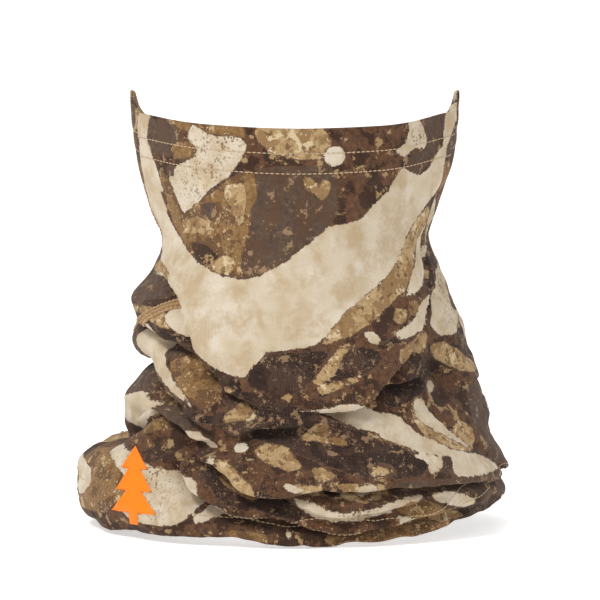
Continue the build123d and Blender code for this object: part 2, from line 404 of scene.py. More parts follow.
def row_from_edge(distance, from_top):
    """For each fine column, the fractional row at this distance along the cloth from a rim."""
    points = cloth_points if from_top else cloth_points[::-1]
    steps = np.linalg.norm(np.diff(points, axis=0), axis=-1)
    lengths = np.concatenate([np.zeros((1, FINE_COLUMNS)), np.cumsum(steps, axis=0)])
    rows = np.array([np.interp(distance, lengths[:, c], np.arange(FINE_ROWS))
                     for c in range(FINE_COLUMNS)])
    return rows if from_top else FINE_ROWS - 1 - rows


def row_at_height(bearing, level):
    """The fractional row whose height before folding is this, at a bearing."""
    c = int(round(float(column_of(bearing)))) % FINE_COLUMNS
    return float(np.interp(-level, -cloth_height[:, c], np.arange(FINE_ROWS)))


# ---- The printed pattern -----------------------------------------------------------------------
# Each shape is a colour and an outline on the worn cloth, as (bearing, height). Later shapes cover
# earlier ones. Past the outlines, as on the back, the cloth has loose seeded shapes of the same kind.

COLOURS = ["cream", "tan", "olive", "umber", "taupe", "charcoal"]
PATCHES = [
    ("umber", [(-70, 72), (-34, 65), (1, 60), (37, 67), (81, 79), (90, 22), (69, -6), (35, -38), (1, -68),
      (-37, -48), (-67, -1)]),
    ("umber", [(-88, -38), (-60, -38), (0, -62), (50, -38), (88, 0), (92, -60), (94, -120), (88, -150),
      (0, -150), (-88, -150), (-92, -110)]),
    ("olive", [(-10, -84), (20, -86), (44, -92), (30, -98), (0, -96)]),
    ("charcoal", [(-44, -72), (-35, -76), (-26, -79), (-21, -72), (-8, -74), (4, -80), (4, -84), (-12, -80),
      (-23, -82), (-32, -82), (-41, -80)]),
    ("charcoal", [(-25, -82), (-12, -81), (4, -87), (4, -90), (-10, -90), (-20, -88)]),
    ("charcoal", [(-66, -94), (-50, -87), (-32, -93), (-25, -99), (-33, -99), (-48, -95), (-55, -98)]),
    ("charcoal", [(-30, -104), (-20, -118), (-12, -119), (-6, -124), (3, -127), (3, -122), (-6, -114),
      (-15, -107)]),
    ("charcoal", [(12, -47), (21, -44), (26, -50), (21, -60), (13, -63), (7, -71), (5, -72), (9, -59)]),
    ("charcoal", [(30, -68), (44, -55), (59, -49), (69, -54), (50, -63), (36, -75), (29, -75)]),
    ("charcoal", [(71, -77), (90, -89), (90, -105), (70, -100), (63, -89)]),
    ("charcoal", [(44, -122), (57, -125), (69, -124), (69, -128), (49, -130)]),
    ("charcoal", [(-4, -110), (-3, -116), (2, -125), (1, -127), (-4, -124)]),
    ("taupe", [(-52, -60), (-30, -78), (-36, -92), (-56, -84)]),
    ("taupe", [(-59, 69), (-48, 67), (-52, 61), (-42, 55), (-49, 42), (-61, 46), (-64, 57)]),
    ("charcoal", [(-59, 69), (-48, 67), (-53, 62), (-61, 61)]),
    ("olive", [(-50, 68), (-32, 65), (-18, 61), (-17, 51), (-25, 54), (-33, 55), (-42, 56), (-52, 61)]),
    ("cream", [(-38, 61), (-34, 55), (-27, 53), (-20, 54), (-16, 49), (-20, 41), (-23, 35), (-31, 29),
      (-36, 23), (-44, 13), (-46, 18), (-48, 25), (-53, 32), (-46, 41), (-37, 43), (-36, 49), (-42, 52)]),
    ("olive", [(-49, 51), (-39, 52), (-36, 47), (-39, 43), (-49, 42)]),
    ("taupe", [(-53, 40), (-47, 40), (-48, 34), (-52, 34)]),
    ("tan", [(-17, 61), (11, 59), (13, 50), (9, 42), (0, 42), (-10, 46), (-14, 52)]),
    ("cream", [(12, 49), (15, 49), (18, 43), (15, 40), (12, 39), (8, 42), (10, 47)]),
    ("cream", [(41, 67), (46, 68), (48, 61), (53, 53), (51, 47), (45, 49), (41, 43), (34, 46), (41, 50),
      (43, 55)]),
    ("taupe", [(47, 69), (66, 75), (64, 64), (59, 48), (52, 39), (48, 34), (41, 39), (40, 43), (52, 46),
      (54, 53), (48, 63)]),
    ("cream", [(66, 74), (81, 78), (90, 60), (71, 60), (67, 51), (61, 44), (63, 64)]),
    ("taupe", [(71, 60), (90, 60), (85, 48), (71, 42), (64, 43), (67, 52)]),
    ("olive", [(63, 42), (76, 43), (79, 32), (74, 24), (64, 35)]),
    ("olive", [(-58, 41), (-51, 34), (-48, 23), (-47, 14), (-36, 23), (-28, 29), (-20, 37), (-14, 38),
      (-13, 24), (-17, 10), (-18, -5), (-13, -13), (-22, -14), (-30, -10), (-42, 0), (-53, 12), (-55, 24)]),
    ("tan", [(-26, 30), (-18, 34), (-17, 24), (-18, 11), (-21, 11), (-22, 20), (-26, 25)]),
    ("tan", [(-48, 13), (-37, 17), (-31, 12), (-31, 6), (-37, 8), (-44, 7)]),
    ("taupe", [(-36, 22), (-29, 23), (-27, 17), (-32, 12), (-36, 17)]),
    ("umber", [(-42, 4), (-33, 3), (-25, -4), (-28, -10), (-37, -4)]),
    ("tan", [(-30, -6), (-25, -1), (-20, -5), (-22, -13), (-28, -11)]),
    ("taupe", [(-16, 40), (1, 39), (12, 40), (14, 35), (13, 24), (15, 17), (10, 12), (5, 4), (-1, -4),
      (-7, -9), (-13, -14), (-19, -13), (-19, -2), (-15, 7), (-16, 19), (-12, 28)]),
    ("tan", [(2, 36), (6, 34), (7, 29), (9, 34), (12, 32), (11, 26), (8, 22), (6, 27), (2, 28)]),
    ("umber", [(14, 38), (26, 41), (35, 42), (39, 39), (35, 32), (32, 26), (27, 19), (24, 14), (17, 13),
      (13, 13), (14, 21)]),
    ("cream", [(-70, 53), (-62, 42), (-58, 25), (-54, 11), (-43, 1), (-35, -6), (-27, -12), (-19, -14),
      (-13, -13), (-3, -5), (3, 2), (10, 12), (22, 13), (26, 20), (34, 27), (40, 41), (43, 37), (49, 34),
      (55, 39), (59, 48), (67, 51), (63, 40), (68, 30), (57, 23), (48, 12), (43, 4), (37, -5), (30, -15),
      (22, -22), (15, -29), (10, -39), (7, -45), (-2, -47), (-10, -47), (-13, -54), (-16, -62), (-28, -56),
      (-35, -49), (-39, -42), (-42, -23), (-57, -7), (-90, 7), (-77, 25), (-78, 42)]),
    ("tan", [(57, 22), (64, 16), (55, 5), (46, -2), (44, -10), (38, -19), (31, -26), (25, -33), (18, -40),
      (11, -43), (6, -46), (10, -39), (15, -29), (22, -22), (30, -15), (37, -5), (43, 4), (48, 12)]),
    ("cream", [(67, 31), (78, 17), (75, 3), (56, -8), (44, -20), (36, -25), (41, -13), (48, -3), (52, 4),
      (62, 12), (62, 22)]),
    ("olive", [(63, 12), (69, 17), (70, 1), (59, -2)]),
    ("cream", [(-69, 70), (-59, 68), (-61, 61), (-64, 52), (-58, 40), (-55, 25), (-61, 28), (-68, 42),
      (-72, 55)]),
    ("charcoal", [(81, 4), (90, 3), (74, -8), (60, -10), (59, -7)]),
    ("tan", [(55, -9), (64, -11), (61, -16), (52, -15)]),
    ("charcoal", [(50, -16), (62, -17), (59, -26), (53, -26), (51, -20)]),
    ("cream", [(90, 1), (90, -8), (83, -22), (90, -33), (74, -44), (60, -43), (55, -37), (58, -25),
      (68, -12)]),
    ("taupe", [(90, -8), (90, -19), (90, -34), (77, -31), (76, -22)]),
    ("cream", [(50, -21), (55, -25), (53, -30), (46, -37), (38, -42), (32, -43), (32, -38), (38, -36),
      (41, -31), (44, -26)]),
    ("olive", [(38, -24), (45, -23), (41, -33), (38, -31)]),
    ("tan", [(33, -27), (38, -28), (37, -33), (34, -36), (31, -34)]),
    ("cream", [(21, -38), (25, -38), (27, -42), (25, -45), (22, -43)]),
    ("charcoal", [(15, -48), (18, -45), (25, -46), (27, -50), (25, -55), (16, -63), (13, -63), (12, -60)]),
    ("tan", [(14, -43), (19, -43), (14, -49), (12, -59), (7, -62), (3, -64), (7, -57), (11, -49)]),
    ("charcoal", [(-10, -48), (4, -48), (12, -45), (8, -53), (5, -60), (1, -66), (-4, -68), (-10, -66),
      (-16, -64), (-16, -57), (-12, -52)]),
    ("tan", [(47, -36), (50, -42), (46, -51), (42, -49), (36, -55), (33, -53), (33, -47), (40, -43)]),
    ("charcoal", [(40, -48), (46, -50), (44, -59), (38, -62), (35, -59), (39, -55)]),
    ("charcoal", [(48, -47), (60, -45), (90, -51), (62, -59), (49, -67), (40, -73), (33, -72), (39, -65),
      (45, -56)]),
    ("tan", [(58, -47), (65, -45), (77, -55), (90, -65), (69, -61), (60, -53)]),
    ("umber", [(57, -61), (90, -64), (90, -93), (90, -109), (70, -107), (62, -101), (61, -88), (57, -78),
      (51, -71), (49, -64)]),
    ("taupe", [(70, -65), (90, -70), (90, -93), (90, -109), (73, -107), (68, -96), (67, -80)]),
    ("tan", [(41, -70), (46, -70), (47, -76), (48, -84), (53, -89), (59, -82), (64, -86), (64, -95),
      (58, -99), (49, -96), (43, -92), (40, -84), (39, -77)]),
    ("cream", [(41, -71), (46, -71), (45, -76), (41, -78)]),
    ("cream", [(50, -65), (57, -63), (56, -67), (49, -72)]),
    ("tan", [(-78, -8), (-71, -1), (-56, -7), (-48, -13), (-51, -16), (-63, -12), (-90, -12)]),
    ("taupe", [(-90, -13), (-63, -13), (-50, -16), (-48, -22), (-55, -25), (-71, -27), (-84, -23)]),
    ("tan", [(-80, -28), (-54, -28), (-45, -31), (-44, -40), (-54, -36), (-61, -31), (-77, -32)]),
    ("cream", [(-46, -27), (-41, -22), (-39, -34), (-38, -44), (-44, -39), (-49, -33)]),
    ("charcoal", [(-90, -37), (-65, -32), (-56, -34), (-58, -36), (-67, -40), (-75, -43)]),
    ("cream", [(-66, -38), (-57, -35), (-52, -42), (-50, -47), (-52, -56), (-39, -67), (-32, -76),
      (-37, -73), (-47, -65), (-66, -55), (-72, -49), (-70, -43)]),
    ("taupe", [(-50, -46), (-46, -46), (-44, -49), (-48, -54), (-53, -53)]),
    ("olive", [(-50, -54), (-40, -49), (-33, -53), (-28, -58), (-26, -64), (-25, -71), (-29, -76),
      (-33, -74), (-40, -66), (-48, -59)]),
    ("charcoal", [(-27, -61), (-23, -58), (-18, -61), (-17, -67), (-20, -71), (-22, -75), (-26, -70)]),
    ("tan", [(-24, -64), (-22, -64), (-20, -66), (-22, -68), (-24, -68)]),
    ("charcoal", [(-43, -73), (-38, -71), (-32, -77), (-29, -81), (-34, -81), (-40, -78)]),
    ("charcoal", [(-17, -65), (-9, -68), (-1, -73), (10, -77), (10, -80), (-2, -79), (-11, -78), (-14, -74),
      (-18, -70)]),
    ("tan", [(-24, -78), (-20, -74), (-18, -70), (-15, -75), (-11, -79), (-18, -81), (-23, -82)]),
    ("taupe", [(-90, -72), (-90, -65), (-90, -58), (-68, -55), (-58, -60), (-60, -64), (-55, -71),
      (-64, -74), (-78, -73)]),
    ("cream", [(-90, -74), (-75, -72), (-66, -70), (-54, -73), (-47, -75), (-56, -78), (-63, -84),
      (-67, -91), (-78, -87), (-90, -80)]),
    ("tan", [(-61, -63), (-57, -61), (-44, -69), (-39, -76), (-44, -75), (-53, -69)]),
    ("olive", [(-57, -84), (-50, -80), (-43, -82), (-47, -87), (-56, -92)]),
    ("charcoal", [(-2, -74), (9, -78), (15, -82), (21, -86), (26, -90), (31, -92), (35, -96), (40, -101),
      (35, -107), (27, -107), (19, -106), (13, -103), (6, -98), (-2, -94), (-10, -89), (-20, -85),
      (-24, -80), (-11, -80)]),
    ("tan", [(6, -81), (10, -80), (12, -88), (10, -92), (7, -89), (2, -89), (0, -88), (4, -85)]),
    ("tan", [(-11, -90), (-6, -90), (0, -95), (-4, -102), (-8, -99), (-10, -98), (-13, -94)]),
    ("cream", [(-20, -91), (-16, -90), (-14, -93), (-16, -95), (-19, -95)]),
    ("tan", [(4, -102), (7, -100), (11, -104), (10, -107), (6, -106), (5, -107)]),
    ("olive", [(20, -101), (24, -99), (29, -101), (27, -106), (21, -107)]),
    ("cream", [(34, -95), (39, -97), (45, -98), (44, -103), (40, -106), (37, -105), (40, -100), (35, -98)]),
    ("cream", [(-3, -76), (4, -75), (11, -74), (16, -71), (22, -73), (26, -77), (31, -77), (35, -80),
      (37, -84), (41, -89), (44, -90), (49, -96), (60, -99), (70, -103), (78, -109), (61, -109), (51, -109),
      (46, -108), (48, -99), (42, -97), (37, -96), (33, -92), (29, -90), (27, -89), (25, -85), (21, -85),
      (15, -81), (10, -77), (4, -75)]),
    ("charcoal", [(45, -97), (48, -99), (47, -104), (44, -106), (41, -106)]),
    ("taupe", [(27, -108), (40, -108), (53, -110), (74, -110), (90, -119), (90, -126), (55, -118),
      (42, -114), (33, -114), (27, -113)]),
    ("tan", [(-4, -107), (1, -108), (8, -109), (19, -108), (26, -109), (26, -117), (18, -118), (13, -116),
      (8, -115), (1, -114), (-3, -111)]),
    ("cream", [(17, -109), (23, -108), (22, -115), (19, -116), (16, -114)]),
    ("cream", [(-5, -107), (1, -109), (3, -113), (-2, -112)]),
    ("umber", [(6, -110), (13, -109), (13, -114), (10, -116), (7, -112)]),
    ("cream", [(-2, -114), (2, -116), (6, -118), (10, -122), (15, -122), (23, -120), (30, -116), (40, -115),
      (32, -121), (27, -123), (19, -126), (13, -127), (6, -126), (1, -121)]),
    ("olive", [(28, -121), (32, -118), (40, -118), (44, -122), (48, -129), (38, -130), (31, -124)]),
    ("cream", [(29, -124), (34, -126), (38, -129), (35, -133), (29, -131)]),
    ("charcoal", [(45, -121), (57, -124), (68, -122), (69, -129), (56, -130), (49, -130)]),
    ("cream", [(40, -116), (46, -115), (51, -116), (59, -122), (56, -125), (47, -122), (42, -119)]),
    ("cream", [(-3, -128), (-2, -129), (-1, -135), (-3, -135)]),
    ("charcoal", [(-31, -104), (-25, -108), (-23, -115), (-18, -119), (-13, -122), (-10, -118), (-16, -114),
      (-21, -110), (-24, -105), (-30, -99)]),
    ("tan", [(-27, -97), (-21, -99), (-17, -102), (-14, -107), (-12, -107), (-11, -112), (-11, -118),
      (-15, -114), (-17, -111), (-22, -103)]),
    ("cream", [(-27, -100), (-27, -96), (-23, -99), (-25, -102)]),
    ("cream", [(-38, -86), (-33, -85), (-30, -88), (-27, -90), (-25, -94), (-29, -93), (-32, -90),
      (-37, -89)]),
    ("cream", [(-30, -127), (-27, -120), (-23, -118), (-20, -121), (-22, -125), (-26, -124), (-28, -129)]),
    ("olive", [(-90, -104), (-71, -98), (-66, -94), (-62, -101), (-57, -107), (-50, -115), (-54, -121),
      (-62, -129), (-77, -129), (-90, -128), (-71, -114)]),
    ("cream", [(-90, -113), (-90, -102), (-70, -109), (-69, -116), (-78, -124), (-90, -119)]),
    ("cream", [(-68, -98), (-65, -94), (-55, -98), (-46, -105), (-39, -105), (-31, -107), (-28, -108),
      (-27, -116), (-31, -127), (-37, -131), (-48, -130), (-54, -127), (-48, -118), (-54, -109)]),
    ("umber", [(-66, -94), (-56, -90), (-45, -85), (-38, -86), (-34, -93), (-28, -97), (-28, -103),
      (-30, -106), (-36, -100), (-44, -98), (-47, -102), (-54, -99)]),
    ("taupe", [(-90, -98), (-90, -93), (-69, -87), (-66, -92), (-76, -96), (-84, -100)]),
    ("tan", [(-86, 88), (-106, 88), (-108, 46), (-98, 20), (-90, 40)]),
    ("cream", [(84, 88), (96, 88), (98, 66), (86, 64)]),
    ("tan", [(-12, -90), (-1, -95), (3, -101), (-3, -103), (-9, -98)]),
    ("tan", [(-26, -100), (-17, -104), (-12, -113), (-11, -119), (-18, -113), (-23, -108)]),
    ("cream", [(-28, -120), (-22, -121), (-24, -126), (-29, -129)]),
    ("cream", [(41, -71), (47, -73), (48, -82), (56, -91), (59, -98), (53, -92), (47, -87), (40, -80)]),
    ("tan", [(3, -101), (9, -100), (9, -105), (5, -107)]),
    ("tan", [(19, -103), (22, -100), (27, -101), (26, -105), (21, -106)]),
    ("olive", [(6, -133), (26, -131), (48, -128), (52, -133), (30, -137), (8, -139)]),
    ("tan", [(40, -126), (52, -124), (56, -128), (44, -131)]),
    ("olive", [(-22, -130), (-8, -131), (-6, -137), (-22, -137)]),
    ("tan", [(-9, -90), (-3, -91), (0, -95), (-5, -98), (-10, -94)]),
    ("olive", [(8, -86), (15, -88), (17, -92), (11, -92)]),
    ("tan", [(6, -63), (14, -61), (22, -57), (20, -61), (12, -66), (6, -68)]),
]
# Where the pale cloth carries dark specks: bearing, height and reach in millimetres.
SPECKLED = [(-36, 40, 17), (-24, 50, 10), (48, 50, 9), (68, 10, 15), (74, -22, 16), (-48, -112, 17),
            (-20, -110, 12), (15, -118, 12), (60, -84, 12), (-66, -28, 9), (150, 20, 26),
            (205, -60, 24), (-110, 15, 18), (120, -80, 20), (-130, -100, 18)]
PRINT_SEED = 7
LOOSE_SHAPES = 150
LOOSE_HEIGHTS = (-150, 90)
LOOSE_WEIGHTS = [0.22, 0.17, 0.12, 0.15, 0.15, 0.19]
LOOSE_STRETCH, LOOSE_LEAN = 1.6, 0.7
# The greatest depth that is told, and how far round an outline it is worked out.
DEEPEST, OUTLINE_MARGIN = 20, 12
# Towards the sides, the outlines' places sway between these bearings, so that none ends straight.
SIDE_SWAY = (68, 90)
# Where the painted shade in the folds sets in and is full, by depth below the evened-out cloth in
# millimetres.
CREASE_SHADE_STARTS, CREASE_SHADE_FULL = 0.4, 5.0


def outline_depth(s, h, knots):
    """How far inside an outline with rounded corners each place is: negative outside."""
    before, after = np.roll(knots, 1, 0), np.roll(knots, -1, 0)
    ring = []
    rounded = 0.5 * (0.5 * knots + 0.25 * (before + after)) + 0.5 * knots
    following = np.roll(rounded, -1, 0)
    middle = 0.5 * (knots + after)
    for share in (0.0, 0.25, 0.5, 0.75):
        ring.append((1 - share) ** 2 * rounded + 2 * share * (1 - share) * middle + share**2 * following)
    ring = np.stack(ring, 1).reshape(-1, 2)
    nearest = np.full(s.shape, 1e9)
    inside = np.zeros(s.shape, bool)
    for (ax, ay), (bx, by) in zip(ring, np.roll(ring, -1, 0)):
        dx, dy = bx - ax, by - ay
        length = dx * dx + dy * dy
        if length == 0:
            continue
        k = np.clip(((s - ax) * dx + (h - ay) * dy) / length, 0, 1)
        nearest = np.minimum(nearest, (s - ax - k * dx) ** 2 + (h - ay - k * dy) ** 2)
        if dy != 0:
            inside ^= ((ay > h) != (by > h)) & (s < (h - ay) / dy * dx + ax)
    return np.sqrt(nearest) * np.where(inside, 1, -1)


def speckled_share(points):
    """How much of the specks each place of the cloth carries, from 0 to 1."""
    s = np.degrees(np.arctan2(points[..., 0], -points[..., 1]))
    share = 0 * s
    for bearing_here, level, reach in SPECKLED:
        gap = ((s - bearing_here + 180) % 360 - 180) * ARC_PER_DEGREE
        share = np.maximum(share, np.exp(-(gap**2 + (points[..., 2] - level) ** 2) / reach**2))
    return share


def crease_share(points):
    """How deep in a hollow of the folds each place of the cloth lies, from 0 to 1, for the painted shade
    there.
    """
    even = soften(points, 25)
    depth = ((even - points) * outward(even)).sum(-1)
    return smooth(CREASE_SHADE_STARTS, CREASE_SHADE_FULL, soften(depth[..., None], 1)[..., 0])


def pattern_depths(points):
    """For each colour, how deep inside its own areas each place of the cloth is, in millimetres."""
    x, y, h = points[..., 0], points[..., 1], points[..., 2]
    s = np.degrees(np.arctan2(x, -y)) * ARC_PER_DEGREE
    turn = 360 * ARC_PER_DEGREE
    random = np.random.default_rng(PRINT_SEED)
    seed_s = random.uniform(-turn / 2, turn / 2, LOOSE_SHAPES)
    seed_h = random.uniform(*LOOSE_HEIGHTS, LOOSE_SHAPES)
    seed_colour = random.choice(len(COLOURS), LOOSE_SHAPES, p=LOOSE_WEIGHTS)
    # Waves of different lengths bend the loose shapes sideways and up.
    sway = 7 * np.sin(h / 11 + 2 * np.sin(s / 17)) + 4 * np.sin(h / 5.3 + s / 9.1)
    rise = 6 * np.sin(s / 12 + 1.5 * np.sin(h / 14)) + 3 * np.sin(s / 5.7 - h / 7.9)
    closest = np.full((len(COLOURS),) + s.shape, 1e9)
    for ss, sh, colour in zip(seed_s, seed_h, seed_colour):
        gap = (s + sway - ss + turn / 2) % turn - turn / 2
        away = np.hypot(gap + LOOSE_LEAN * (h - sh), LOOSE_STRETCH * (h + rise - sh))
        closest[colour] = np.minimum(closest[colour], away)
    depths = []
    for colour in range(len(COLOURS)):
        others = np.delete(closest, colour, 0).min(0)
        depths.append((others - closest[colour]) / 2)
    depths = np.clip(np.array(depths), -DEEPEST, DEEPEST)
    edge = smooth(*SIDE_SWAY, np.abs(s) / ARC_PER_DEGREE)
    drawn = s + edge * (9 * np.sin(h / 8) + 5 * np.sin(h / 3.4 + 1))
    for colour_name, outline in PATCHES:
        corners = np.array(outline) * [ARC_PER_DEGREE, 1]
        (s_low, h_low), (s_high, h_high) = corners.min(0) - OUTLINE_MARGIN, corners.max(0) + OUTLINE_MARGIN
        near = (drawn > s_low) & (drawn < s_high) & (h > h_low) & (h < h_high)
        depth = np.full(s.shape, -float(DEEPEST))
        depth[near] = outline_depth(drawn[near], h[near], corners)
        for colour, name in enumerate(COLOURS):
            if name == colour_name:
                depths[colour] = np.maximum(depths[colour], depth)
            else:
                depths[colour] = np.minimum(depths[colour], -depth)
    return depths


# ---- Materials ---------------------------------------------------------------------------------


class Nodes:
    """A short way to write a material's nodes."""

    def __init__(self, name):
        self.material = bpy.data.materials.new(name)
        self.material.use_nodes = True
        self.tree = self.material.node_tree
        self.shader = self.tree.nodes["Principled BSDF"]

    def add(self, kind, values=(), **settings):
        node = self.tree.nodes.new(kind)
        for key, value in settings.items():
            setattr(node, key, value)
        for key, value in dict(values).items():
            self.put(node.inputs[key], value)
        return node

    def put(self, socket, value):
        if isinstance(value, bpy.types.NodeSocket):
            self.tree.links.new(value, socket)
        else:
            socket.default_value = value

    def look(self, values):
        """Give the shader these values. A constant goes straight on its socket."""
        for key, value in values.items():
            self.put(self.shader.inputs[key], value)

    def bump(self, height, strength, distance):
        values = {"Strength": strength, "Distance": distance, "Height": height}
        self.look({"Normal": self.add("ShaderNodeBump", values).outputs[0]})

    def math(self, operation, a, b=0.0, c=0.0):
        node = self.add("ShaderNodeMath", {0: a, 1: b, 2: c}, operation=operation)
        return node.outputs[0]

    def times(self, a, b):
        return self.math("MULTIPLY", a, b)

    def field(self, name):
        return self.add("ShaderNodeAttribute", attribute_name=name).outputs["Fac"]

    def step(self, value, low, high):
        node = self.add("ShaderNodeMapRange", {"Value": value, "From Min": low, "From Max": high})
        return node.outputs[0]

    def noise(self, place, scale, detail=3.0, roughness=0.55):
        values = {"Vector": place, "Scale": scale, "Detail": detail, "Roughness": roughness}
        return self.add("ShaderNodeTexNoise", values).outputs[0]

    def mix(self, share, a, b, blend="MIX"):
        node = self.add("ShaderNodeMix", data_type="RGBA", blend_type=blend)
        self.put(node.inputs[0], share)
        self.put(node.inputs[6], a)
        self.put(node.inputs[7], b)
        return node.outputs[2]

    def shifted(self, place, amount):
        """The same place moved along, so that two noises differ."""
        return self.add("ShaderNodeVectorMath", {0: place, 1: (amount, 2 * amount, -amount)},
                        operation="ADD").outputs[0]

    def place(self):
        """The piece's own coordinates, in millimetres."""
        own = self.add("ShaderNodeTexCoord").outputs["Object"]
        return self.add("ShaderNodeVectorMath", {0: own, 1: (1000, 1000, 1000)},
                        operation="MULTIPLY").outputs[0]


def rgb(text):
    """A colour written as six hex digits, in linear light."""
    parts = [int(text[i:i + 2], 16) / 255 for i in (0, 2, 4)]
    return tuple(p / 12.92 if p < 0.04045 else ((p + 0.055) / 1.055) ** 2.4 for p in parts) + (1,)


# The knit's ribs round the tube and its rows of loops down it.
WALES, COURSES = 540, 340


def knit_material():
    """The printed brushed knit: ragged shapes, dark rims on the pale ones, specks, a fine rib, painted
    glints and painted shade.
    """
    n = Nodes("printed_knit")
    place = n.place()
    coarse = n.noise(place, 0.16, 4, 0.6)
    medium = n.noise(place, 0.45, 4, 0.65)
    small = n.noise(place, 1.3, 3, 0.6)
    cloud = n.noise(place, 0.07, 3, 0.5)
    dots = n.add("ShaderNodeTexVoronoi", {"Vector": place, "Scale": 0.62, "Randomness": 1.0})
    dot_distance = dots.outputs["Distance"]
    ragged = n.math("MULTIPLY_ADD", coarse, 2.6, -1.3)
    ragged = n.math("ADD", ragged, n.math("MULTIPLY_ADD", medium, 3.0, -1.5))
    ragged = n.math("ADD", ragged, n.math("MULTIPLY_ADD", small, 1.2, -0.6))
    sparse = n.step(cloud, 0.46, 0.54)
    blot = n.step(n.noise(n.shifted(place, 31), 0.1, 6, 0.7), 0.505, 0.52)
    chip = n.step(n.noise(n.shifted(place, 57), 0.16, 6, 0.7), 0.58, 0.595)
    worm = n.step(n.noise(n.shifted(place, 83), 0.34, 3, 0.5), 0.6, 0.615)
    specked = n.field("specks")
    specks = n.math("LESS_THAN", dot_distance, n.times(n.step(coarse, 0.36, 0.62), 0.5))
    flecks = n.times(n.math("GREATER_THAN", n.times(small, medium), 0.33), sparse)

    def tone(light, dark, blotted, chipped):
        shade = n.mix(n.step(medium, 0.38, 0.64), rgb(light), rgb(dark))
        shade = n.mix(n.times(blot, 0.85), shade, rgb(blotted))
        return n.mix(n.times(chip, 0.85), shade, rgb(chipped))

    cream = n.mix(n.step(cloud, 0.35, 0.7), rgb("CEC1AD"), rgb("BBA98C"))
    stain = n.times(n.step(n.noise(n.shifted(place, 19), 0.07, 6, 0.7), 0.46, 0.6), 0.6)
    cream = n.mix(stain, cream, rgb("AC9370"))
    cream = n.mix(n.times(n.times(specks, specked), 0.9), cream, rgb("5C4631"))
    cream = n.mix(n.times(n.times(worm, specked), 0.85), cream, rgb("8A6E48"))
    tan = tone("B39870", "987B54", "846643", "CBB794")
    tan = n.mix(n.times(worm, 0.75), tan, rgb("5E432A"))
    olive = tone("8C6C46", "705230", "5C412A", "BBA078")
    olive = n.mix(n.times(flecks, 0.8), olive, rgb("CDB68F"))
    umber = tone("654630", "4B3325", "33231B", "A48660")
    taupe = tone("5C4A3C", "46362E", "553E2E", "94785A")
    charcoal = tone("38271F", "261A17", "463228", "8A6E52")
    charcoal = n.mix(n.times(flecks, 0.4), charcoal, rgb("A88F70"))
    colour = rgb("5A4233")
    shades = {"umber": umber, "taupe": taupe, "olive": olive, "charcoal": charcoal, "tan": tan,
              "cream": cream}
    for name, shade in shades.items():
        depth = n.math("ADD", n.field(name), ragged)
        if name in ("tan", "cream"):
            rim = n.times(n.step(depth, -0.55, -0.2), n.step(medium, 0.5, 0.56))
            colour = n.mix(n.times(rim, 0.7), colour, rgb("3A2A20"))
        colour = n.mix(n.step(depth, -0.15, 0.2), colour, shade)
    # The rib and the loops follow the cloth's own grid.
    uv = n.add("ShaderNodeUVMap", uv_map="OFBake").outputs[0]
    split = n.add("ShaderNodeSeparateXYZ", {0: uv})
    ribs = [n.math("SINE", n.times(split.outputs[axis], 2 * math.pi * count))
            for axis, count in enumerate((WALES, COURSES))]
    loops = n.times(*[n.math("MULTIPLY_ADD", rib, 0.5, 0.5) for rib in ribs])
    # Painted highlight: pale glints on the knit's loops, in random patches.
    glint_patches = n.step(n.noise(place, 0.1, 2, 0.5), 0.4, 0.65)
    glint = n.times(n.times(loops, glint_patches), 0.07)
    colour = n.mix(glint, colour, rgb("C9B8A4"))
    # Painted shade: the knit is darker between its loops, times a random fuzz in tone.
    fuzz = n.math("MULTIPLY_ADD", n.noise(place, 3.5, 2, 0.5), 0.16, 0.92)
    shade = n.times(n.math("MULTIPLY_ADD", loops, 0.12, 0.9), fuzz)
    loop_shade = n.add("ShaderNodeCombineColor", {0: shade, 1: shade, 2: shade}).outputs[0]
    colour = n.mix(1.0, colour, loop_shade, "MULTIPLY")
    # Painted shade: the colour is darkened where the cloth lies deep in its folds.
    colour = n.mix(n.times(n.field("crease"), 0.7), colour, rgb("35261C"), "MULTIPLY")
    n.look({"Base Color": colour, "Roughness": 0.92, "Specular IOR Level": 0.12, "Sheen Weight": 0.05,
            "Sheen Roughness": 0.6})
    n.bump(n.math("ADD", n.times(loops, 0.6), n.noise(place, 1.8, 3, 0.6)), 0.35, 0.0004)
    return n.material


def thread_material(name, light, dark, twist):
    """Spun thread: two shades twisted together."""
    n = Nodes(name)
    place = n.place()
    wave = n.add("ShaderNodeTexWave", {"Vector": place, "Scale": twist, "Distortion": 2.0})
    colour = n.mix(wave.outputs["Fac"], rgb(light), rgb(dark))
    colour = n.mix(n.times(n.noise(place, 0.3), 0.5), colour, rgb(dark))
    n.look({"Base Color": colour, "Roughness": 0.8, "Sheen Weight": 0.2})
    n.bump(wave.outputs["Fac"], 0.5, 0.0002)
    return n.material


def film_material():
    """Heat-set film: bright and satin, slightly uneven like the knit under it."""
    n = Nodes("transfer_film")
    place = n.place()
    colour = n.mix(n.noise(place, 0.12, 2), rgb("FA8010"), rgb("F2760A"))
    roughness = n.math("MULTIPLY_ADD", n.noise(place, 0.8), 0.15, 0.5)
    n.look({"Base Color": colour, "Roughness": roughness, "Specular IOR Level": 0.25})
    n.bump(n.noise(place, 1.6), 0.12, 0.0002)
    return n.material


def label_material():
    """Woven satin tape."""
    n = Nodes("label_tape")
    place = n.place()
    across = n.add("ShaderNodeTexWave", {"Vector": place, "Scale": 0.9}, bands_direction="X")
    down = n.add("ShaderNodeTexWave", {"Vector": place, "Scale": 1.3}, bands_direction="Z")
    weave = n.times(across.outputs["Fac"], down.outputs["Fac"])
    colour = n.mix(weave, rgb("D8D4CA"), rgb("ECE9E2"))
    n.look({"Base Color": colour, "Roughness": n.math("MULTIPLY_ADD", weave, 0.2, 0.45)})
    n.bump(weave, 0.3, 0.0002)
    return n.material


KNIT = knit_material()

# ---- The cloth pieces --------------------------------------------------------------------------

